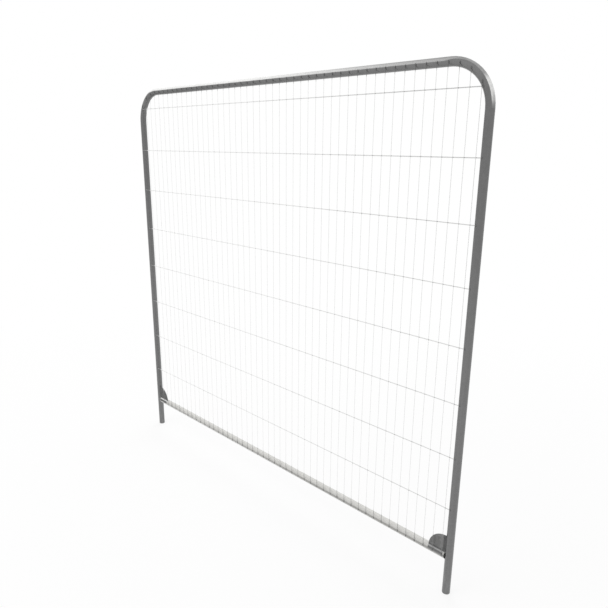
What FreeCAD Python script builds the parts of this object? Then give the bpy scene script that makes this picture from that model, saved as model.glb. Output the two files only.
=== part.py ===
"""Anti-climb temporary fence panel.

One tube bent twice makes both posts and the top rail. A bottom rail with a gusset in each corner
ties the legs together, and a welded wire mesh lies on the front of the tubes.
Millimetres, +Z up, +X from the left post to the right one, -Y is the front. The origin is the centre
of the left leg's end face, on the ground.
"""

import FreeCAD, Part
import math
import os

from FreeCAD import Vector

# Tube frame
panel_width = 2500.0  # over the outsides of the two posts
panel_height = 2400.0  # from the ground to the top of the top rail
tube_diameter = 38.0
tube_wall = 2.0
bend_radius = 180.0  # of the tube's centre line in both top corners
rail_height = 200.0  # from the ground to the bottom rail's centre line
weld_gap = 0.2  # left open between pieces that a weld joins

# Corner gussets
gusset_radius = 89.0  # of the quarter disc, from the corner between post and rail
gusset_thickness = 4.0
gusset_set_forward = 8.0  # from the tubes' centre lines forward to the middle of the plate

# Wire mesh
upright_diameter = 2.0
cross_diameter = 4.0
wire_sides = 6  # each wire is a bar with this many flats inside its round outline
wire_set_down = 0.45  # how deep crossing wires sink into each other where they are welded
upright_pitch = 50.0
upright_edge_gap = 10.0  # least clear width between a post and the first upright wire
upright_overrun = 4.0  # of the upright wires past the centre lines of both rails
cross_pitch = 260.5
cross_below_top = 101.0  # from the top rail's centre line to the first cross wire
cross_end_inset = 6.0  # from a post's centre line to the end of a cross wire

# Places worked out from the sizes above
tube_radius = tube_diameter / 2
bore_radius = tube_radius - tube_wall
upright_radius = upright_diameter / 2
cross_radius = cross_diameter / 2
post_spacing = panel_width - tube_diameter
top_height = panel_height - tube_radius
bend_height = top_height - bend_radius
seat_radius = tube_radius + weld_gap
gusset_back_offset = max(0.0, gusset_set_forward - gusset_thickness / 2)
gusset_edge = math.sqrt(seat_radius**2 - gusset_back_offset**2)  # of the plate, from the tubes' centre lines
upright_y = -(seat_radius + upright_radius)
cross_y = upright_y + upright_radius + cross_radius - wire_set_down

ALONG_X = Vector(1, 0, 0)
ALONG_Y = Vector(0, 1, 0)
ALONG_Z = Vector(0, 0, 1)


def circle_wire(centre, axis, radius):
    return Part.Wire(Part.Circle(centre, axis, radius).toShape())


def ring_face(centre, axis):
    """The tube's cross-section: a flat ring."""
    outline = circle_wire(centre, axis, tube_radius)
    bore = circle_wire(centre, axis, bore_radius)
    return Part.makeFace([outline, bore], "Part::FaceMakerBullseye")


def bend(centre, start_angle):
    """A quarter turn of the centre line in the panel's plane, clockwise from the left post."""
    points = []
    for share in (0.0, 0.5, 1.0):
        angle = math.radians(start_angle - 90.0 * share)
        points.append(centre + Vector(math.cos(angle), 0, math.sin(angle)) * bend_radius)
    return Part.Arc(*points).toShape()


def frame_centre_line():
    """Up the left post, along the top rail and down the right post."""
    right_bend_x = post_spacing - bend_radius
    left_post = Part.LineSegment(Vector(0, 0, 0), Vector(0, 0, bend_height))
    top_rail = Part.LineSegment(Vector(bend_radius, 0, top_height), Vector(right_bend_x, 0, top_height))
    right_post = Part.LineSegment(Vector(post_spacing, 0, bend_height), Vector(post_spacing, 0, 0))
    return Part.Wire([
        left_post.toShape(),
        bend(Vector(bend_radius, 0, bend_height), 180.0),
        top_rail.toShape(),
        bend(Vector(right_bend_x, 0, bend_height), 90.0),
        right_post.toShape(),
    ])


def make_frame_tube():
    """Both posts and the top rail, in one tube bent at the top corners."""
    return frame_centre_line().makePipe(ring_face(Vector(0, 0, 0), ALONG_Z))


def make_bottom_rail():
    """A tube cut square at both ends, which meet the posts along their inner sides."""
    start = Vector(seat_radius, 0, rail_height)
    length = post_spacing - 2 * seat_radius
    return ring_face(start, ALONG_X).extrude(ALONG_X * length)


def make_gusset(post_x, inward):
    """A quarter-disc plate standing on the bottom rail against a post. Inward is +1 or -1 along X."""
    front_y = -gusset_set_forward - gusset_thickness / 2
    corner = Vector(post_x + inward * gusset_edge, front_y, rail_height + gusset_edge)
    on_rail = corner + ALONG_X * (inward * gusset_radius)
    on_post = corner + ALONG_Z * gusset_radius
    slant = gusset_radius * math.sqrt(0.5)
    middle = corner + ALONG_X * (inward * slant) + ALONG_Z * slant
    outline = Part.Wire([
        Part.LineSegment(corner, on_rail).toShape(),
        Part.Arc(on_rail, middle, on_post).toShape(),
        Part.LineSegment(on_post, corner).toShape(),
    ])
    return Part.Face(outline).extrude(ALONG_Y * gusset_thickness)


def make_bar(start, axis, side, length, radius):
    """A straight wire with flats, which has one of its long edges towards the side direction."""
    up = axis.cross(side)
    corners = []
    for index in range(wire_sides):
        angle = 2 * math.pi * index / wire_sides
        corners.append(start + (side * math.cos(angle) + up * math.sin(angle)) * radius)
    outline = Part.makePolygon(corners + corners[:1])
    return Part.Face(outline).extrude(axis * length)


def centre_line_height(x):
    """Height of the top tube's centre line over a place along the panel, lower in the bends."""
    into_bend = max(0.0, bend_radius - min(x, post_spacing - x))
    return bend_height + math.sqrt(bend_radius**2 - into_bend**2)


def centre_line_inset(z):
    """How far the bend has carried a post's centre line inward at a height."""
    into_bend = max(0.0, z - bend_height)
    return bend_radius - math.sqrt(bend_radius**2 - into_bend**2)


def upright_places():
    """X of each upright wire, evenly spaced about the middle of the panel."""
    free_width = post_spacing - 2 * (tube_radius + upright_edge_gap + upright_radius)
    count = int(free_width / upright_pitch) + 1
    first = (post_spacing - (count - 1) * upright_pitch) / 2
    return [first + index * upright_pitch for index in range(count)]


def cross_places():
    """Z of each cross wire, from the top down to the last one clear of the bottom rail."""
    first = top_height - cross_below_top
    lowest = rail_height + tube_radius + cross_radius
    count = int((first - lowest) / cross_pitch) + 1
    return [first - index * cross_pitch for index in range(count)]


def make_upright(x):
    """An upright wire, from just past the bottom rail's centre line to just past the top tube's."""
    foot = rail_height - upright_overrun
    head = centre_line_height(x) + upright_overrun
    return make_bar(Vector(x, upright_y, foot), ALONG_Z, ALONG_Y, head - foot, upright_radius)


def make_cross_wire(z, tube_seat):
    """A cross wire from post to post, with its ends hollowed to fit the tube."""
    start = centre_line_inset(z) + cross_end_inset
    length = post_spacing - 2 * start
    bar = make_bar(Vector(start, cross_y, z), ALONG_X, ALONG_Y, length, cross_radius)
    return bar.cut(tube_seat)


def make_wire_mesh():
    """Upright wires in front, cross wires behind them, fused at every crossing."""
    seat_face = Part.Face(circle_wire(Vector(0, 0, 0), ALONG_Z, seat_radius))
    tube_seat = frame_centre_line().makePipe(seat_face)
    bars = [make_upright(x) for x in upright_places()]
    bars += [make_cross_wire(z, tube_seat) for z in cross_places()]
    return bars[0].multiFuse(bars[1:]).removeSplitter()


def save(node, shape):
    shape.exportStep("parts/" + node + ".step")
    print(node, "solids", len(shape.Solids), "valid", shape.isValid(), "volume", round(shape.Volume))


os.makedirs("parts", exist_ok=True)
save("frame_tube", make_frame_tube())
save("bottom_rail", make_bottom_rail())
save("left_gusset", make_gusset(0.0, 1))
save("right_gusset", make_gusset(post_spacing, -1))
save("wire_mesh", make_wire_mesh())
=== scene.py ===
"""Looks of the anti-climb temporary fence panel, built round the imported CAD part.

Metres, +Z up, +X from the left post to the right one, -Y is the front where the mesh lies.
The tubes and gussets are the CAD solids with a zinc finish. The mesh is drawn again with round wires,
and every weld that holds the panel together is added as its own bead or spot.
"""

import bpy
import math
import random

from mathutils import Matrix, Vector


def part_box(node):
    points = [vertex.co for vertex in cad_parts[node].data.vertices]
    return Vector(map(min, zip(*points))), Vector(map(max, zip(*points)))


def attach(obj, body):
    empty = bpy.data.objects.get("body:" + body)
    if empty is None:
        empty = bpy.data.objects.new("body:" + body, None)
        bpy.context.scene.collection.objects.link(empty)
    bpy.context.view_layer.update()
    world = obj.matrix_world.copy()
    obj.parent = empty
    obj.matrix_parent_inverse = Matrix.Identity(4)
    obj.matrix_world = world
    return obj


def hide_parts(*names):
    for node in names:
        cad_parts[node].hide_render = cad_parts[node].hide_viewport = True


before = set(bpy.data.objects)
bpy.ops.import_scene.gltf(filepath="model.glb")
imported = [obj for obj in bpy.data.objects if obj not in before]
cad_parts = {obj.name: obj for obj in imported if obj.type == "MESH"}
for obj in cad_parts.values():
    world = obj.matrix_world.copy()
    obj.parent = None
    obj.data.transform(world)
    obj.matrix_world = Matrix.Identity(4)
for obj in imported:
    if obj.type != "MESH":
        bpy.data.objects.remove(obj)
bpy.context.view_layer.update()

# Places read from the frame
tube_low, tube_high = (Vector(corner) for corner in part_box("frame_tube"))
rail_low, rail_high = (Vector(corner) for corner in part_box("bottom_rail"))
plate_low, plate_high = (Vector(corner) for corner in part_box("left_gusset"))
mesh_low = Vector(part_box("wire_mesh")[0])
tube_radius = (rail_high.z - rail_low.z) / 2
tube_front = -tube_radius
rail_height = (rail_high.z + rail_low.z) / 2
left_x = tube_low.x + tube_radius
right_x = tube_high.x - tube_radius
middle_x = (left_x + right_x) / 2
half_span = right_x - middle_x
rail_half = rail_high.x - middle_x
top_height = tube_high.z - tube_radius
gusset_edge = plate_low.x - left_x  # of the plate, from the tubes' centre lines
gusset_radius = plate_high.x - plate_low.x
gusset_front, gusset_back = plate_low.y, plate_high.y

# Wire mesh
upright_radius = 0.001
cross_radius = 0.002
bend_radius = 0.18
upright_pitch = 0.05
upright_count = 49
upright_y = mesh_low.y + upright_radius
upright_overrun = 0.004
cross_pitch = 0.2605
cross_count = 8
cross_below_top = 0.101
wire_set_down = 0.00045
cross_y = upright_y + upright_radius + cross_radius - wire_set_down
cross_end_inset = 0.006

# Dull ends of the wires
head_tip = 0.0035  # of an upright's upper end, below the top tube's inner edge
left_head_shift = 0.033  # by the left bend, as if the upright stood this much further left
right_head_shift = 0.0105  # by the right bend, likewise
foot_tip = 0.042  # of an upright's lower end, from the rail's centre line up
tip_over_gusset = 0.006
cross_tip = 0.033  # of a cross wire's left end, past the tube's inner edge
dull_fade = 0.010  # length over which a dull end turns bright
foot_dullness = 0.82
cross_end_dullness = 0.50  # at the very end of a cross wire
cross_tip_dullness = 0.80  # where the left end of a cross wire starts to fade

# Smoothness and unevenness of the added meshes
wire_sides = 12
wire_chamfer = 0.3  # share of a wire's radius taken off at its cut edges
spot_rings = 8
spot_sides = 16
spot_skew = 0.15  # most that a spot leans sideways, as a share of its width
spot_swell = 0.05  # of the waves round a spot's rim, as a share of its size
spot_waves = 3
spot_wave_shift = 9  # turns the waves differently on each spot
bead_sides = 12
bead_step = 0.0011
bead_least_steps = 8
bead_ripple_length = 0.0044
bead_ripple = 0.10  # these three are shares of a bead's radius
bead_end = 0.45
bead_unevenness = 0.04
bead_taper = 6  # one part in so many of a bead's length narrows towards each end

# Half sizes of the weld spots along X, Y and Z
crossing_spot = (0.0026, 0.0020, 0.0026)
head_spot = (0.0036, 0.0015, 0.0042)
foot_spot = (0.0024, 0.0018, 0.0034)
side_spot = (0.0050, 0.0020, 0.0040)

# Places of the welds
head_weld_drop = 0.003  # below the top tube's centre line
foot_weld_drop = 0.001  # below the rail's centre line
side_weld_sink = 0.001  # of the spots on the posts, into the tube
gusset_bead_sink = 0.0010  # of the beads into the joint between plate and tube
gusset_bead_shift = 0.0008  # of the beads behind each face of the plate
front_bead_radius = 0.0018
back_bead_radius = 0.0026
rail_bead_radius = 0.0030
rail_bead_front, rail_bead_back = -0.007, 0.009

# Camera, solved from the posts, rails and wires in the photograph
image_size = 608
focal_pixels = 569.55
camera_place = Vector((3.5327, -2.1210, 2.0563))
camera_yaw = math.radians(43.810)
camera_pitch = math.radians(15.478)
camera_roll = math.radians(0.576)
sensor_width = 36.0
sight = 200.0  # past the far corners of the floor

along_x = Vector((1, 0, 0))
along_y = Vector((0, 1, 0))
chance = random.Random(8)


# Mesh builders
def new_piece(name, vertices, faces, material, dullness=()):
    """A smooth-shaded mesh that rides on the panel. Dullness is a share for each vertex, for wires."""
    mesh = bpy.data.meshes.new(name)
    mesh.from_pydata([tuple(vertex) for vertex in vertices], [], faces)
    mesh.update()
    mesh.shade_smooth()
    mesh.materials.append(material)
    if dullness:
        mesh.attributes.new("dullness", "FLOAT", "POINT").data.foreach_set("value", dullness)
    piece = bpy.data.objects.new(name, mesh)
    bpy.context.scene.collection.objects.link(piece)
    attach(piece, "root")
    return piece


def add_sweep(vertices, faces, path, radii, side, sides):
    """A closed round body along a path, with a radius at each point. Side is square to the path."""
    first = len(vertices)
    for index, point in enumerate(path):
        before = path[max(index - 1, 0)]
        after = path[min(index + 1, len(path) - 1)]
        along = (after - before).normalized()
        across = (side - along * side.dot(along)).normalized()
        up = along.cross(across)
        for corner in range(sides):
            angle = 2 * math.pi * corner / sides
            offset = across * math.cos(angle) + up * math.sin(angle)
            vertices.append(point + offset * radii[index])
    for ring in range(len(path) - 1):
        for corner in range(sides):
            low = first + ring * sides + corner
            low_next = first + ring * sides + (corner + 1) % sides
            faces.append((low, low_next, low_next + sides, low + sides))
    last = first + (len(path) - 1) * sides
    faces.append(tuple(first + corner for corner in reversed(range(sides))))
    faces.append(tuple(last + corner for corner in range(sides)))


def add_wire(vertices, faces, dullness, stops, radius):
    """A straight round wire. Each stop is a point on its centre line and how dull the wire is there."""
    points = [point for point, _ in stops]
    shares = [share for _, share in stops]
    end_radius = radius * (1 - wire_chamfer)
    chamfer = (points[-1] - points[0]).normalized() * (radius * wire_chamfer)
    path = [points[0], points[0] + chamfer, *points[1:-1], points[-1] - chamfer, points[-1]]
    radii = [end_radius] + [radius] * len(points) + [end_radius]
    add_sweep(vertices, faces, path, radii, along_y, wire_sides)
    for share in [shares[0], *shares, shares[-1]]:
        dullness.extend([share] * wire_sides)


def add_spot(vertices, faces, centre, half_sizes):
    """A rounded weld spot, slightly uneven, with half sizes along X, Y and Z."""
    first = len(vertices)
    skew = chance.uniform(-spot_skew, spot_skew)
    for ring in range(1, spot_rings):
        tilt = math.pi * ring / spot_rings
        for corner in range(spot_sides):
            turn = 2 * math.pi * corner / spot_sides
            swell = 1 + spot_swell * math.sin(spot_waves * turn + spot_wave_shift * skew)
            reach = math.sin(tilt) * swell
            offset = Vector((math.cos(turn) * reach, -math.cos(tilt), math.sin(turn) * reach))
            offset.x += skew * offset.z
            vertices.append(centre + Vector(a * b for a, b in zip(offset, half_sizes)))
    for ring in range(spot_rings - 2):
        for corner in range(spot_sides):
            low = first + ring * spot_sides + corner
            low_next = first + ring * spot_sides + (corner + 1) % spot_sides
            faces.append((low, low + spot_sides, low_next + spot_sides, low_next))
    last = first + (spot_rings - 2) * spot_sides
    faces.append(tuple(first + corner for corner in range(spot_sides)))
    faces.append(tuple(last + corner for corner in reversed(range(spot_sides))))


def add_bead(vertices, faces, start, end, radius, side):
    """A weld bead along a joint, with a ripple for each step of the weld. Side is square to it."""
    length = (end - start).length
    count = max(bead_least_steps, int(length / bead_step))
    path = []
    radii = []
    for index in range(count + 1):
        share = index / count
        taper = bead_end + (1 - bead_end) * min(1.0, bead_taper * share, bead_taper * (1 - share))
        ripple = 1 + bead_ripple * math.sin(2 * math.pi * length * share / bead_ripple_length)
        uneven = chance.uniform(1 - bead_unevenness, 1 + bead_unevenness)
        path.append(start.lerp(end, share))
        radii.append(radius * ripple * taper * uneven)
    add_sweep(vertices, faces, path, radii, side, bead_sides)


# Places of the wires
def into_bend(distance):
    """How far a place lies inside the bend, from its start."""
    return max(0.0, bend_radius - distance)


def bend_drop(depth):
    """How far the bend has carried the tube's centre line off its straight run."""
    return bend_radius - math.sqrt(bend_radius**2 - depth**2)


def centre_line_height(x):
    """Height of the top tube's centre line over a place along the panel, lower in the bends."""
    return top_height - bend_drop(into_bend(half_span - abs(x - middle_x)))


def centre_line_inset(z):
    """How far the bend has carried a post's centre line inward at a height."""
    return bend_drop(into_bend(top_height - z))


def foot_tip_top(x):
    """Height where an upright's dull lower end stops: over the rail, or over a gusset in the corners."""
    from_corner = half_span - abs(x - middle_x) - gusset_edge
    top = rail_height + foot_tip
    if 0 < from_corner < gusset_radius:
        arc = math.sqrt(gusset_radius**2 - from_corner**2)
        top = max(top, rail_height + gusset_edge + arc + tip_over_gusset)
    return top


def inner_edge(depth):
    """How far the tube's inner edge is from its straight run's centre line, at a depth into the bend."""
    return bend_radius - math.sqrt((bend_radius - tube_radius)**2 - depth**2)


def head_tip_low(x):
    """Height where an upright's dull upper end starts, just below the tube.

    The first upright, beside the left post, is dull all along.
    """
    shift = left_head_shift if x < middle_x else right_head_shift
    depth = into_bend(half_span - abs(x - shift - middle_x))
    if depth > bend_radius - tube_radius:
        return foot_tip_top(x)
    return top_height - inner_edge(depth) - head_tip


def left_tip_end(z):
    """X where the dull left end of a cross wire stops, a little past the tube."""
    return left_x + inner_edge(into_bend(top_height - z)) + cross_tip


first_upright = middle_x - upright_pitch * (upright_count - 1) / 2
upright_places = [first_upright + upright_pitch * index for index in range(upright_count)]
cross_places = [top_height - cross_below_top - cross_pitch * index for index in range(cross_count)]


# Materials
class Nodes:
    """Short names for adding and joining shader nodes in one material.

    It holds the place on the surface in X, Y and Z, and the Y and Z of the direction that it faces.
    """

    def __init__(self, name):
        self.material = bpy.data.materials.new(name)
        self.material.use_nodes = True
        self.tree = self.material.node_tree
        self.shader = self.tree.nodes["Principled BSDF"]
        self.place = self.add("ShaderNodeTexCoord").outputs["Object"]
        self.x, self.y, self.z = self.split(self.place)
        normal = self.add("ShaderNodeNewGeometry").outputs["Normal"]
        _, self.facing_y, self.facing_z = self.split(normal)

    def add(self, kind, **settings):
        """A new node with the given settings."""
        node = self.tree.nodes.new(kind)
        for key, value in settings.items():
            setattr(node, key, value)
        return node

    def put(self, socket, value):
        """Sets a socket to a number or a colour, or joins it to an output."""
        if isinstance(value, (int, float)):
            socket.default_value = value
        elif isinstance(value, tuple):
            socket.default_value = (*value, 1.0)
        else:
            self.tree.links.new(value, socket)

    def split(self, vector):
        """The X, Y and Z of a vector."""
        node = self.add("ShaderNodeSeparateXYZ")
        self.put(node.inputs["Vector"], vector)
        return [node.outputs[axis] for axis in "XYZ"]

    def noise(self, scale, detail=3.0, stretch=None):
        """Noise from 0 to 1 over the object's own coordinates, stretched along an axis if given."""
        texture = self.add("ShaderNodeTexNoise")
        texture.inputs["Scale"].default_value = scale
        texture.inputs["Detail"].default_value = detail
        place = self.place
        if stretch:
            mapping = self.add("ShaderNodeMapping")
            mapping.inputs["Scale"].default_value = stretch
            self.put(mapping.inputs["Vector"], place)
            place = mapping.outputs["Vector"]
        self.put(texture.inputs["Vector"], place)
        return texture.outputs["Fac"]

    def spangle(self, scale):
        """A value for each zinc crystal, from 0 to 1."""
        texture = self.add("ShaderNodeTexVoronoi")
        texture.inputs["Scale"].default_value = scale
        self.put(texture.inputs["Vector"], self.place)
        grey = self.add("ShaderNodeRGBToBW")
        self.put(grey.inputs["Color"], texture.outputs["Color"])
        return grey.outputs["Val"]

    def span(self, value, low, high, new_low, new_high):
        """Maps a value smoothly from one span to another, and holds it inside the new one."""
        node = self.add("ShaderNodeMapRange", interpolation_type="SMOOTHSTEP")
        self.put(node.inputs["Value"], value)
        limits = {"From Min": low, "From Max": high, "To Min": new_low, "To Max": new_high}
        for socket, number in limits.items():
            node.inputs[socket].default_value = number
        return node.outputs["Result"]

    def math(self, operation, first, second=0.0):
        """A sum on one or two values, each an output or a plain number."""
        node = self.add("ShaderNodeMath", operation=operation)
        self.put(node.inputs[0], first)
        self.put(node.inputs[1], second)
        return node.outputs["Value"]

    def product(self, first, *others):
        """Multiplies any count of masks."""
        for other in others:
            first = self.math("MULTIPLY", first, other)
        return first

    def blend(self, share, first, second, mode="MIX"):
        """Mixes two colours, each an output or a plain colour."""
        node = self.add("ShaderNodeMix", data_type="RGBA", blend_type=mode)
        for socket, value in {0: share, 6: first, 7: second}.items():
            self.put(node.inputs[socket], value)
        return node.outputs[2]

    def blend_number(self, share, first, second):
        """Mixes two numbers, each an output or a plain number."""
        node = self.add("ShaderNodeMix", data_type="FLOAT")
        for socket, value in {0: share, 2: first, 3: second}.items():
            self.put(node.inputs[socket], value)
        return node.outputs[0]

    def bump(self, height, strength, distance):
        """Gives the surface a fine relief."""
        node = self.add("ShaderNodeBump")
        node.inputs["Strength"].default_value = strength
        node.inputs["Distance"].default_value = distance
        self.put(node.inputs["Height"], height)
        self.put(self.shader.inputs["Normal"], node.outputs["Normal"])

    def rest(self, mask):
        """What a mask leaves of 1."""
        return self.math("SUBTRACT", 1.0, mask)

    def off(self, value, middle):
        """How far a value lies from another, on either side."""
        return self.math("ABSOLUTE", self.math("SUBTRACT", value, middle))

    def from_middle(self):
        """Distance along X from the panel's middle, so that both halves are described once."""
        return self.off(self.x, middle_x)


# Where a second finish shows, or light and shade are painted
def top_highlight(nodes):
    """Up to 1 on the top tube's upper side: a painted highlight, thinner towards the right end.

    It starts inside the left bend. Round the right bend it draws back from the front, and is full
    again before it fades out at the post, first from the outer rim.
    """
    bend_start = right_x - bend_radius
    wander = nodes.span(nodes.noise(25.0), 0.3, 0.7, -0.02, 0.02)
    lift = nodes.span(nodes.x, 0.9, bend_start + 0.1, 0.0, 0.12)
    drop = nodes.span(nodes.x, 0.45, 0.95, 0.05, 0.0)
    spread = nodes.math("SUBTRACT", nodes.math("ADD", lift, wander), drop)
    upward = nodes.span(nodes.math("ADD", nodes.facing_z, spread), 0.13, 0.32, 0.0, 1.0)
    front_limit = nodes.span(nodes.x, bend_start - 0.05, bend_start + 0.10, -1.03, -0.74)
    drawn_back = nodes.span(nodes.math("SUBTRACT", nodes.facing_y, front_limit), -0.04, 0.04, 0.0, 1.0)
    started = nodes.span(nodes.x, left_x + 0.095, left_x + 0.14, 0.0, 1.0)
    highlight_fade = nodes.span(nodes.x, 1.08, 2.48, 1.0, 0.3)
    highlight_fade = nodes.math("POWER", highlight_fade, nodes.span(nodes.facing_y, -0.87, -0.55, 1.0, 2.0))
    outer_bend = nodes.span(nodes.z, top_height - 0.080, top_height - 0.042, 1.0, 0.0)
    bend_edge = nodes.span(nodes.z, top_height + 0.001, top_height + 0.010, 0.2, 0.0)
    highlight_strength = nodes.math("MAXIMUM", highlight_fade, nodes.math("MAXIMUM", outer_bend, bend_edge))
    low = nodes.span(nodes.z, top_height - 0.145, top_height - 0.105, 1.0, 0.0)
    outward = nodes.span(nodes.facing_y, -0.65, -0.35, 0.0, 0.5)
    off_rim = nodes.rest(nodes.product(low, outward))
    return nodes.product(highlight_strength, upward, drawn_back, started, off_rim)


def upper_posts(nodes):
    """From 0 low on the posts to 1 high on them and on the left part of the top rail.

    It is near 0 in the left bend.
    """
    high = nodes.span(nodes.z, 0.9, 2.05, 0.0, 1.0)
    under_rail = nodes.span(nodes.z, top_height - 0.13, top_height - 0.04, 1.0, 0.0)
    at_left = nodes.span(nodes.x, 0.5, 1.6, 1.0, 0.0)
    over_post = nodes.span(nodes.z, top_height - 0.17, top_height - 0.11, 0.0, 1.0)
    below_rail = nodes.span(nodes.z, top_height - 0.05, top_height - 0.02, 1.0, 0.0)
    left_end = nodes.span(nodes.x, 0.2, 0.3, 0.8, 0.0)
    off_left_bend = nodes.rest(nodes.product(over_post, below_rail, left_end))
    return nodes.product(high, nodes.math("MAXIMUM", under_rail, at_left), off_left_bend)


def scorch_and_shade_by_post(nodes):
    """Up to 0.5 on a post beside its gusset: weld scorch, and painted shade in the corner by the plate.
    """
    aside = nodes.math("SUBTRACT", nodes.from_middle(), half_span - gusset_edge)
    behind = nodes.math("SUBTRACT", nodes.y, (gusset_front + gusset_back) / 2)
    squares = nodes.math("ADD", nodes.product(aside, aside), nodes.product(behind, behind))
    near = nodes.span(nodes.math("SQRT", squares), 0.006, 0.012, 0.5, 0.0)
    top = rail_height + gusset_edge + gusset_radius
    under_top = nodes.span(nodes.z, top, top + 0.008, 1.0, 0.0)
    over_rail = nodes.span(nodes.z, rail_height + 0.01, rail_height + 0.02, 0.0, 1.0)
    return nodes.product(near, under_top, over_rail)


def left_plate(nodes):
    """From 0.65 on the left gusset, which is darker, to 0 on the right one."""
    return nodes.span(nodes.x, left_x + 0.1, right_x - 0.1, 0.65, 0.0)


def scorch_and_shade_on_plate_edges(nodes):
    """1 along a gusset's two welded edges: weld scorch, and painted shade in the corners by post and
    rail.
    """
    wander = nodes.span(nodes.noise(120.0), 0.3, 0.7, -0.002, 0.002)
    reach = nodes.math("ADD", nodes.from_middle(), wander)
    height = nodes.math("ADD", nodes.z, wander)
    post_edge = half_span - gusset_edge
    rail_edge = rail_height + gusset_edge
    by_post = nodes.span(reach, post_edge - 0.014, post_edge - 0.006, 0.0, 1.0)
    by_rail = nodes.span(height, rail_edge + 0.005, rail_edge + 0.012, 1.0, 0.0)
    return nodes.math("MAXIMUM", by_post, by_rail)


def gusset_shadow_and_reflection(nodes):
    """1 on the rail's upper half under each gusset, a painted shadow and reflection, less on its back
    and round its end's top.
    """
    wander = nodes.span(nodes.noise(90.0), 0.3, 0.7, -0.001, 0.001)
    reach = nodes.math("ADD", nodes.from_middle(), wander)
    start = half_span - gusset_edge - gusset_radius
    under_gusset = nodes.span(reach, start - 0.002, start + 0.002, 0.0, 1.0)
    at_end = nodes.span(reach, rail_half - 0.011, rail_half - 0.008, 0.0, 0.7)
    on_top = nodes.span(nodes.facing_z, 0.0, 0.4, 0.0, 1.0)
    upper_half = nodes.span(nodes.facing_z, -0.35, 0.25, 0.0, 1.0)
    front = nodes.span(nodes.facing_y, 0.45, 0.85, 1.0, 0.1)
    return nodes.product(under_gusset, nodes.rest(nodes.product(at_end, on_top)), upper_half, front)


def rail_end_seam_shade(nodes):
    """Up to 1 in a band of painted shade along the front of the rail under the gussets, lower and
    stronger at the left.
    """
    middle = nodes.span(nodes.x, left_x, right_x, 0.28, 0.48)
    seam = nodes.span(nodes.off(nodes.facing_z, middle), 0.08, 0.30, 1.0, 0.0)
    amount = nodes.span(nodes.x, left_x, right_x, 1.0, 0.3)
    return nodes.product(gusset_shadow_and_reflection(nodes), seam, amount)


def rail_end_highlights(nodes):
    """Up to 1 in a painted highlight along the top of the rail under the gussets, less on the right one.
    """
    upward = nodes.span(nodes.facing_z, 0.55, 0.75, 0.0, 1.0)
    amount = nodes.span(nodes.x, left_x, right_x, 1.0, 0.30)
    return nodes.product(gusset_shadow_and_reflection(nodes), upward, amount)


def rail_front_shade(nodes):
    """Up to 1 in a faint line of painted shade along the rail's front, stronger towards the right."""
    line = nodes.span(nodes.off(nodes.facing_z, 0.10), 0.0, 0.42, 1.0, 0.0)
    amount = nodes.span(nodes.x, 0.2, 1.8, 0.45, 1.0)
    return nodes.product(line, amount)


def rail_underside_light(nodes):
    """1 on the rail's lower half from the left end past the middle, where more light is painted."""
    downward = nodes.span(nodes.facing_z, -0.30, 0.05, 1.0, 0.0)
    at_left = nodes.span(nodes.x, 1.1, 1.7, 1.0, 0.0)
    return nodes.product(downward, at_left)


def rubbed_legs(nodes):
    """Up to 0.7 in streaks down the legs, where foot blocks rub them."""
    streaks = nodes.span(nodes.noise(220.0, 3.0, (1.0, 1.0, 0.04)), 0.48, 0.62, 0.0, 0.7)
    low = nodes.span(nodes.z, 0.10, 0.175, 1.0, 0.0)
    return nodes.product(streaks, low)


def painted_light_lower_left(at_left, at_foot, foot_top):
    """Painted light on wires, a mask that grows to the left and down: at_left by the left edge, at_foot
    below foot_top.
    """
    def mask(nodes):
        from_left = nodes.span(nodes.x, 0.6, 2.6, 1 - at_left, 1.0)
        from_foot = nodes.span(nodes.z, foot_top, 2.3, 1 - at_foot, 1.0)
        return nodes.rest(nodes.product(from_left, from_foot))
    return mask


def lit_cross_wire_starts(nodes):
    """From 1 at the left post to 0 where the cross wires are less bright: painted light on their left
    ends.
    """
    return nodes.span(nodes.x, left_x + 0.12, left_x + 0.6, 1.0, 0.0)


def dull_ends(nodes):
    """How dull a wire is, as its mesh says."""
    return nodes.add("ShaderNodeAttribute", attribute_name="dullness").outputs["Fac"]


def rail_bead_highlights(nodes):
    """Up to 1 in a painted highlight on the weld beads between the gussets and the rail, less on the
    right ones.
    """
    rail_edge = rail_height + gusset_edge
    low = nodes.span(nodes.z, rail_edge + 0.002, rail_edge + 0.004, 1.0, 0.0)
    amount = nodes.span(nodes.x, left_x, right_x, 1.0, 0.25)
    return nodes.product(low, amount)


# Patterns in the zinc, where a scale is about the count of features to the metre
cloud_scale = 14.0
run_scale = 160.0
grain_scale = 900.0
cloud_stretch = (1.0, 1.0, 0.35)  # clouds and runs are drawn out along Z
run_stretch = (1.0, 1.0, 0.02)
cloud_share = 0.45  # against the crystals
cloud_relief = 2.0  # against the grain
relief_strength = 0.25
relief_depth = 0.0004

# Each pattern: scale of the crystals, share of upright runs, and how far the grey varies
tube_pattern = (90.0, 0.6, 0.08)
rail_pattern = (90.0, 0.3, 0.05)
plate_pattern = (60.0, 0.2, 0.24)
wire_pattern = (400.0, 0.2, 0.06)
crossing_pattern = (500.0, 0.2, 0.15)
weld_pattern = (500.0, 0.2, 0.25)

# Each finish: colour, how metallic, and the least and most roughness
dull_tube = ((0.200, 0.200, 0.200), 0.90, 0.24, 0.34)
darker_tube = ((0.168, 0.168, 0.168), 0.90, 0.24, 0.34)
dull_plate = ((0.200, 0.200, 0.198), 0.85, 0.32, 0.44)
# Pale paint for the highlights painted on upper sides, where light falls
painted_highlight = ((0.90, 0.90, 0.89), 0.25, 0.45, 0.60)
# Darker zinc: weld scorch with painted corner shade by the gussets, and the darker left gusset
darkened_zinc = ((0.135, 0.135, 0.135), 0.60, 0.50, 0.65)
rubbed = ((0.26, 0.26, 0.26), 0.90, 0.25, 0.35)
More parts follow.
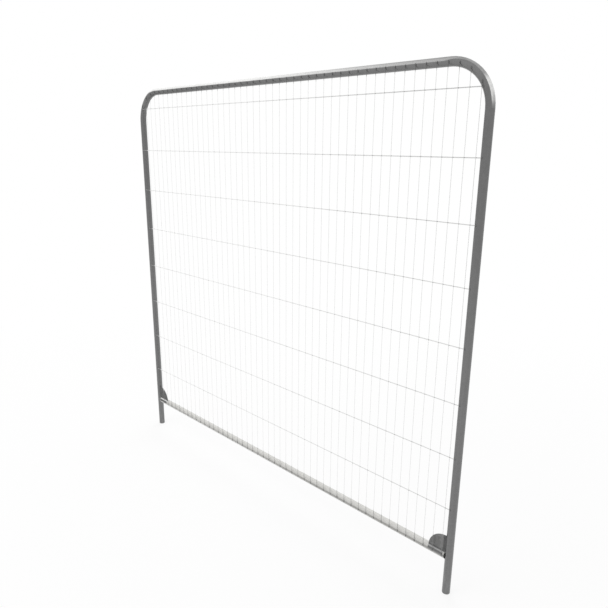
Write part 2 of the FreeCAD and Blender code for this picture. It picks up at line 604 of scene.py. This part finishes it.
# Painted shade along the front of the rail under the gussets
dark_seam_shade = ((0.075, 0.075, 0.072), 0.60, 0.40, 0.55)
pale_rail = ((0.69, 0.685, 0.66), 0.10, 0.45, 0.60)
# Painted light on the rail's lower half
lit_rail = ((0.92, 0.915, 0.895), 0.10, 0.45, 0.60)
# Painted shade along the rail's front
shaded_rail = ((0.40, 0.395, 0.38), 0.10, 0.50, 0.65)
bright_wire = ((0.70, 0.70, 0.695), 1.0, 0.14, 0.26)
# Painted light on the wires towards the lower left
lit_wire = ((0.86, 0.86, 0.855), 1.0, 0.14, 0.26)
# Darker than the uprights' zinc: painted shade on the cross wires
cross_wire = ((0.55, 0.55, 0.545), 1.0, 0.14, 0.26)
# Painted light on the cross wires' left ends
brightest_wire_light = ((0.95, 0.95, 0.945), 0.30, 0.35, 0.50)
dull_wire = ((0.18, 0.18, 0.18), 0.80, 0.35, 0.50)
crossing_weld = ((0.11, 0.11, 0.11), 0.60, 0.40, 0.55)
# Painted light on the crossing welds towards the lower left
lit_crossing = ((0.72, 0.72, 0.72), 0.60, 0.40, 0.55)
weld = ((0.155, 0.155, 0.155), 0.60, 0.45, 0.65)
burnt_weld = ((0.115, 0.115, 0.115), 0.40, 0.55, 0.70)


def zinc(name, finish, pattern, layers=()):
    """Hot-dip zinc: crystals, clouds and runs of slightly different grey, and a fine grain.

    Each layer is another finish, or painted light and shade, over the first one, and the mask that says
    where it shows.
    """
    nodes = Nodes(name)
    crystal_scale, run_share, contrast = pattern
    crystals = nodes.spangle(crystal_scale)
    clouds = nodes.noise(cloud_scale, 4.0, cloud_stretch)
    runs = nodes.noise(run_scale, 3.0, run_stretch)
    grain = nodes.noise(grain_scale, 2.0)
    mottle = nodes.blend_number(cloud_share, crystals, clouds)
    tone = nodes.blend_number(run_share, mottle, runs)
    colour, metallic, rough_low, rough_high = finish
    rough = nodes.span(tone, 0.2, 0.8, rough_low, rough_high)
    for (other_colour, other_metallic, other_low, other_high), mask in layers:
        share = mask(nodes)
        colour = nodes.blend(share, colour, other_colour)
        rough = nodes.blend_number(share, rough, nodes.span(tone, 0.2, 0.8, other_low, other_high))
        if metallic != other_metallic:
            metallic = nodes.blend_number(share, metallic, other_metallic)
    shade = nodes.span(tone, 0.25, 0.75, 1 - contrast, 1 + contrast)
    nodes.put(nodes.shader.inputs["Base Color"], nodes.blend(1.0, colour, shade, "MULTIPLY"))
    nodes.put(nodes.shader.inputs["Roughness"], rough)
    nodes.put(nodes.shader.inputs["Metallic"], metallic)
    relief = nodes.math("ADD", grain, nodes.product(clouds, cloud_relief))
    nodes.bump(relief, relief_strength, relief_depth)
    return nodes.material


frame_layers = (
    (darker_tube, upper_posts),
    # painted highlight on the top tube
    (painted_highlight, top_highlight),
    # weld scorch and painted shade beside the gussets
    (darkened_zinc, scorch_and_shade_by_post),
    (rubbed, rubbed_legs),
)
rail_layers = (
    # painted light on the rail's lower half
    (lit_rail, rail_underside_light),
    # painted shade along the rail's front
    (shaded_rail, rail_front_shade),
    # painted shadow and reflection of the gussets, in the tube's dull grey
    (dull_tube, gusset_shadow_and_reflection),
    # painted shade along the front of the rail under the gussets
    (dark_seam_shade, rail_end_seam_shade),
    # painted highlight along the top of the rail under the gussets
    (painted_highlight, rail_end_highlights),
)
gusset_layers = (
    (darkened_zinc, left_plate),
    # weld scorch and painted shade along the gussets' joints
    (darkened_zinc, scorch_and_shade_on_plate_edges),
)
upright_layers = (
    # painted light towards the lower left
    (lit_wire, painted_light_lower_left(0.65, 0.6, 0.3)),
    (dull_wire, dull_ends),
)
cross_layers = (
    # painted light towards the lower left
    (lit_wire, painted_light_lower_left(0.85, 0.42, 1.4)),
    # painted light on the cross wires' left ends
    (brightest_wire_light, lit_cross_wire_starts),
    (dull_wire, dull_ends),
)
# painted light towards the lower left
crossing_layers = ((lit_crossing, painted_light_lower_left(0.9, 0.30, 1.2)),)
# painted highlight on the beads by the rail
bead_layers = ((painted_highlight, rail_bead_highlights),)
frame_zinc = zinc("dull_zinc_tube", dull_tube, tube_pattern, frame_layers)
rail_zinc = zinc("pale_zinc_tube", pale_rail, rail_pattern, rail_layers)
gusset_zinc = zinc("dull_zinc_plate", dull_plate, plate_pattern, gusset_layers)
upright_zinc = zinc("bright_zinc_upright", bright_wire, wire_pattern, upright_layers)
cross_zinc = zinc("bright_zinc_cross_wire", cross_wire, wire_pattern, cross_layers)
crossing_zinc = zinc("crossing_weld_metal", crossing_weld, crossing_pattern, crossing_layers)
bead_zinc = zinc("bead_metal", weld, weld_pattern, bead_layers)
weld_zinc = zinc("weld_metal", weld, weld_pattern)
burnt_zinc = zinc("burnt_weld_metal", burnt_weld, weld_pattern)

solid_finishes = {
    "frame_tube": frame_zinc,
    "bottom_rail": rail_zinc,
    "left_gusset": gusset_zinc,
    "right_gusset": gusset_zinc,
}
for node, material in solid_finishes.items():
    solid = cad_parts[node]
    solid.data.materials.clear()
    solid.data.materials.append(material)

# Round upright wires, dull over the tubes and gussets
vertices, faces, dullness = [], [], []
for x in upright_places:
    foot_top = foot_tip_top(x)
    head_low = head_tip_low(x)
    heights = [(rail_height - upright_overrun, foot_dullness), (foot_top, foot_dullness)]
    if head_low > foot_top:
        heights += [(foot_top + dull_fade, 0.0), (head_low - dull_fade, 0.0), (head_low, 1.0)]
    else:
        heights.append((foot_top + dull_fade, 1.0))
    heights.append((centre_line_height(x) + upright_overrun, 1.0))
    stops = [(Vector((x, upright_y, height)), share) for height, share in heights]
    add_wire(vertices, faces, dullness, stops, upright_radius)
upright_wires = new_piece("upright_wires", vertices, faces, upright_zinc, dullness)
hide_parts("wire_mesh")

# Round cross wires behind them, dull over the left post and at their right ends
vertices, faces, dullness = [], [], []
for z in cross_places:
    inset = centre_line_inset(z) + cross_end_inset
    tip_end = left_tip_end(z)
    right_end = right_x - inset
    reaches = [(left_x + inset, cross_end_dullness), (tip_end, cross_tip_dullness)]
    reaches += [(tip_end + dull_fade, 0.0), (right_end - dull_fade, 0.0)]
    reaches.append((right_end, cross_end_dullness))
    stops = [(Vector((reach, cross_y, z)), share) for reach, share in reaches]
    add_wire(vertices, faces, dullness, stops, cross_radius)
new_piece("cross_wires", vertices, faces, cross_zinc, dullness)

# Welds where the wires cross
vertices, faces = [], []
for z in cross_places:
    inset = centre_line_inset(z) + cross_end_inset
    for x in upright_places:
        if left_x + inset < x < right_x - inset:
            add_spot(vertices, faces, Vector((x, (upright_y + cross_y) / 2, z)), crossing_spot)
new_piece("crossing_welds", vertices, faces, crossing_zinc)

# Welds that hold the wires to the rail and the posts
vertices, faces = [], []
for x in upright_places:
    add_spot(vertices, faces, Vector((x, tube_front, rail_height - foot_weld_drop)), foot_spot)
for z in cross_places:
    inset = centre_line_inset(z) + cross_end_inset
    for x in (left_x + inset, right_x - inset):
        add_spot(vertices, faces, Vector((x, tube_front + side_weld_sink, z)), side_spot)
new_piece("wire_end_welds", vertices, faces, weld_zinc)

# Burnt welds that hold the uprights to the top tube
vertices, faces = [], []
for x in upright_places:
    height = centre_line_height(x) - head_weld_drop
    add_spot(vertices, faces, Vector((x, tube_front, height)), head_spot)
new_piece("head_welds", vertices, faces, burnt_zinc)

# Beads along the gussets
vertices, faces = [], []
for post_x, inward in ((left_x, 1), (right_x, -1)):
    corner_x = post_x + inward * (gusset_edge - gusset_bead_sink)
    corner_z = rail_height + gusset_edge - gusset_bead_sink
    far_x = corner_x + inward * gusset_radius
    far_z = corner_z + gusset_radius
    for face_y, radius in ((gusset_front, front_bead_radius), (gusset_back, back_bead_radius)):
        y = face_y + gusset_bead_shift
        corner = Vector((corner_x, y, corner_z))
        add_bead(vertices, faces, corner, Vector((corner_x, y, far_z)), radius, along_y)
        add_bead(vertices, faces, corner, Vector((far_x, y, corner_z)), radius, along_y)
new_piece("gusset_welds", vertices, faces, bead_zinc)

# Beads over and under the rail's ends, where they touch the posts
vertices, faces = [], []
for end_x in (rail_low.x, rail_high.x):
    for z in (rail_height + tube_radius, rail_height - tube_radius):
        start = Vector((end_x, rail_bead_front, z))
        end = Vector((end_x, rail_bead_back, z))
        add_bead(vertices, faces, start, end, rail_bead_radius, along_x)
new_piece("rail_welds", vertices, faces, weld_zinc)


# Floor and world
def background_share(tree):
    """1 for rays from the camera and for reflected or transmitted ones, which show the background."""
    path = tree.nodes.new("ShaderNodeLightPath")
    total = path.outputs["Is Camera Ray"]
    for name in ("Is Glossy Ray", "Is Transmission Ray"):
        either = tree.nodes.new("ShaderNodeMath")
        either.operation = "MAXIMUM"
        tree.links.new(total, either.inputs[0])
        tree.links.new(path.outputs[name], either.inputs[1])
        total = either.outputs["Value"]
    return total


white = (1.0, 1.0, 1.0, 1.0)
fill_strength = 0.80  # of the light that the surroundings throw on the panel
backdrop_strength = 1.0  # of the surroundings as they are seen
world = bpy.data.worlds.new("studio")
bpy.context.scene.world = world
world.use_nodes = True
world.cycles.sampling_method = "NONE"
tree = world.node_tree
fill = tree.nodes["Background"]
fill.inputs["Color"].default_value = white
fill.inputs["Strength"].default_value = fill_strength
backdrop = tree.nodes.new("ShaderNodeBackground")
backdrop.inputs["Color"].default_value = white
backdrop.inputs["Strength"].default_value = backdrop_strength
chooser = tree.nodes.new("ShaderNodeMixShader")
tree.links.new(background_share(tree), chooser.inputs["Fac"])
tree.links.new(fill.outputs["Background"], chooser.inputs[1])
tree.links.new(backdrop.outputs["Background"], chooser.inputs[2])
tree.links.new(chooser.outputs["Shader"], tree.nodes["World Output"].inputs["Surface"])

floor_reach = 60.0
floor_grey = 0.45  # for the light that the floor throws back
floor_pale = 0.92  # as the floor is seen
floor_white = 0.80  # share of plain white that the floor shows near the panel, under its soft shadow
floor_near, floor_far = 1.0, 4.5  # from the panel's middle, where that share starts to grow and is 1
floor_roughness = 0.9
floor_drop = 0.0005
floor_mesh = bpy.data.meshes.new("floor")
floor_corners = []
for side_x, side_y in ((-1, -1), (1, -1), (1, 1), (-1, 1)):
    floor_corners.append((middle_x + side_x * floor_reach, side_y * floor_reach, -floor_drop))
floor_mesh.from_pydata(floor_corners, [], [(0, 1, 2, 3)])
floor = bpy.data.objects.new("floor", floor_mesh)
bpy.context.scene.collection.objects.link(floor)
floor_nodes = Nodes("floor_paint")
floor_seen = background_share(floor_nodes.tree)
floor_colour = floor_nodes.blend(floor_seen, (floor_grey,) * 3, (floor_pale,) * 3)
floor_nodes.put(floor_nodes.shader.inputs["Base Color"], floor_colour)
floor_nodes.put(floor_nodes.shader.inputs["Roughness"], floor_roughness)
floor_nodes.put(floor_nodes.shader.inputs["Specular IOR Level"], 0.0)
glow = floor_nodes.add("ShaderNodeEmission")
glow.inputs["Color"].default_value = white
glow.inputs["Strength"].default_value = 1.0
away = floor_nodes.add("ShaderNodeVectorMath", operation="DISTANCE")
floor_nodes.put(away.inputs[0], floor_nodes.place)
away.inputs[1].default_value = (middle_x, 0.0, 0.0)
white_share = floor_nodes.span(away.outputs["Value"], floor_near, floor_far, floor_white, 1.0)
shown = floor_nodes.product(white_share, floor_seen)
floor_mix = floor_nodes.add("ShaderNodeMixShader")
floor_nodes.put(floor_mix.inputs["Fac"], shown)
floor_nodes.put(floor_mix.inputs[1], floor_nodes.shader.outputs["BSDF"])
floor_nodes.put(floor_mix.inputs[2], glow.outputs["Emission"])
floor_surface = floor_nodes.tree.nodes["Material Output"].inputs["Surface"]
floor_nodes.put(floor_surface, floor_mix.outputs["Shader"])
floor_mesh.materials.append(floor_nodes.material)


# Lamps
def softbox(name, place, target, width, depth, radiance):
    """A soft area lamp, given by how bright its face is."""
    lamp = bpy.data.lights.new(name, "AREA")
    lamp.shape = "RECTANGLE"
    lamp.size = width
    lamp.size_y = depth
    lamp.energy = radiance * math.pi * width * depth
    holder = bpy.data.objects.new(name, lamp)
    holder.location = place
    holder.rotation_euler = (target - place).to_track_quat("-Z", "Y").to_euler()
    holder.visible_camera = False
    holder.visible_glossy = False
    bpy.context.scene.collection.objects.link(holder)


back_lamp_place = Vector((-1.3, 3.2, 4.6))
back_lamp_target = Vector((1.4, 0.0, 2.2))
front_lamp_place = Vector((0.2, -3.2, 4.4))
front_lamp_target = Vector((1.2, 0.0, 1.0))
softbox("back_lamp", back_lamp_place, back_lamp_target, width=4.0, depth=3.0, radiance=2.2)
softbox("front_lamp", front_lamp_place, front_lamp_target, width=3.0, depth=3.0, radiance=1.5)

# Camera
right = Vector((math.cos(camera_yaw), math.sin(camera_yaw), 0))
level = Vector((-math.sin(camera_yaw), math.cos(camera_yaw), 0))
above = Vector((0, 0, 1))
looking = level * math.cos(camera_pitch) - above * math.sin(camera_pitch)
up = above * math.cos(camera_pitch) + level * math.sin(camera_pitch)
right_rolled = right * math.cos(camera_roll) + up * math.sin(camera_roll)
up_rolled = up * math.cos(camera_roll) - right * math.sin(camera_roll)
view = bpy.data.cameras.new("camera")
view.sensor_width = sensor_width
view.lens = focal_pixels / image_size * sensor_width
view.clip_end = sight
camera = bpy.data.objects.new("camera", view)
turn = Matrix((right_rolled, up_rolled, -looking)).transposed()
camera.matrix_world = Matrix.Translation(camera_place) @ turn.to_4x4()
bpy.context.scene.collection.objects.link(camera)
bpy.context.scene.camera = camera
bpy.context.scene.view_settings.view_transform = "Standard"
